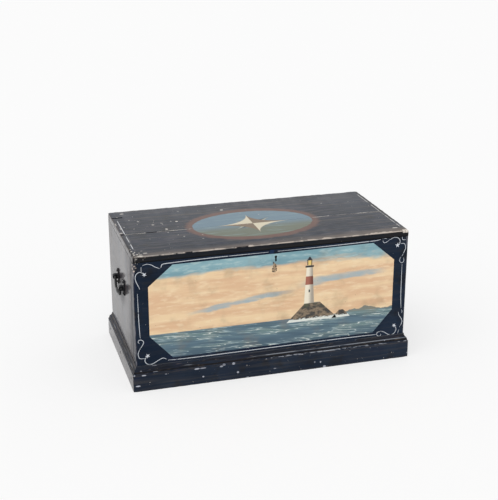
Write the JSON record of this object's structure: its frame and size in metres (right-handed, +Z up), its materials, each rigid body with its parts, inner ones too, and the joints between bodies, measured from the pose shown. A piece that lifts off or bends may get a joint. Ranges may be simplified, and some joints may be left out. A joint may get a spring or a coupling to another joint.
{
  "type": "ditty box",
  "caption": "Low rectangular wooden keepsake box on a moulded plinth, with a flat hinged lid, an iron drop handle on each end, a lock let into the front and painted scenes on lid and front.",
  "frame": {"origin": "on the floor, under the middle of the box", "axes": "+X along the box's length, -Y is the front with the keyhole, +Z up"},
  "size_m": [0.4702, 0.2378, 0.2225],
  "materials": {
    "painted_pine": "old dark navy oil paint, half gloss, worn to a pale undercoat along the edges",
    "bare_pine": "bare aged pine",
    "black_iron": "black painted iron, dull",
    "hinge_iron": "dull old iron",
    "lock_iron": "filed iron plate, aged",
    "nail_iron": "plain iron, browned",
    "painted_plate": "thin plate painted over with the panel"
  },
  "bodies": {
    "case": {"front_board": "painted_pine", "back_board": "painted_pine", "left_end_board": "painted_pine", "right_end_board": "painted_pine", "bottom_front_plank": "bare_pine", "bottom_rear_plank": "bare_pine", "plinth_front": "painted_pine", "plinth_back": "painted_pine", "plinth_left": "painted_pine", "plinth_right": "painted_pine", "left_hinge_case_leaf": "hinge_iron", "right_hinge_case_leaf": "hinge_iron", "left_hinge_pin": "hinge_iron", "right_hinge_pin": "hinge_iron", "hinge_case_screws": "hinge_iron", "lock_plate": "lock_iron", "lock_cap": "lock_iron", "lock_guide_posts": "lock_iron", "lock_key_pin": "lock_iron", "lock_screws": "lock_iron", "keyhole_escutcheon": "painted_plate", "escutcheon_pins": "painted_plate", "left_handle_front_plate": "black_iron", "left_handle_rear_plate": "black_iron", "right_handle_front_plate": "black_iron", "right_handle_rear_plate": "black_iron", "handle_screws": "black_iron", "bottom_nails": "nail_iron", "plinth_nails": "nail_iron"},
    "lid": {"lid_front_plank": "painted_pine", "lid_rear_plank": "painted_pine", "lid_left_end_strip": "painted_pine", "lid_right_end_strip": "painted_pine", "lid_left_cleat": "bare_pine", "lid_right_cleat": "bare_pine", "cleat_screws": "nail_iron", "left_hinge_lid_leaf": "hinge_iron", "right_hinge_lid_leaf": "hinge_iron", "hinge_lid_screws": "hinge_iron", "lid_strike": "lock_iron", "strike_screws": "lock_iron", "lid_strip_nails": "nail_iron"},
    "left_bail": {"left_handle_bail": "black_iron"},
    "right_bail": {"right_handle_bail": "black_iron"},
    "lock_bolt": {"lock_bolt": "lock_iron", "lock_bolt_spring": "lock_iron"}
  },
  "joints": [
    {"name": "lid_hinge", "type": "hinge", "parent": "case", "child": "lid", "pos_m": [0, 0.1161, 0.21295], "axis": [-1, 0, 0], "range_deg": [0, 105]},
    {"name": "left_bail_swing", "type": "hinge", "parent": "case", "child": "left_bail", "pos_m": [-0.2311, 0, 0.1405], "axis": [0, 1, 0], "range_deg": [0, 90]},
    {"name": "right_bail_swing", "type": "hinge", "parent": "case", "child": "right_bail", "pos_m": [0.2311, 0, 0.1405], "axis": [0, -1, 0], "range_deg": [0, 90]},
    {"name": "bolt_slide", "type": "slide", "parent": "case", "child": "lock_bolt", "axis": [1, 0, 0], "range_m": [0, 0.006]}
  ]
}
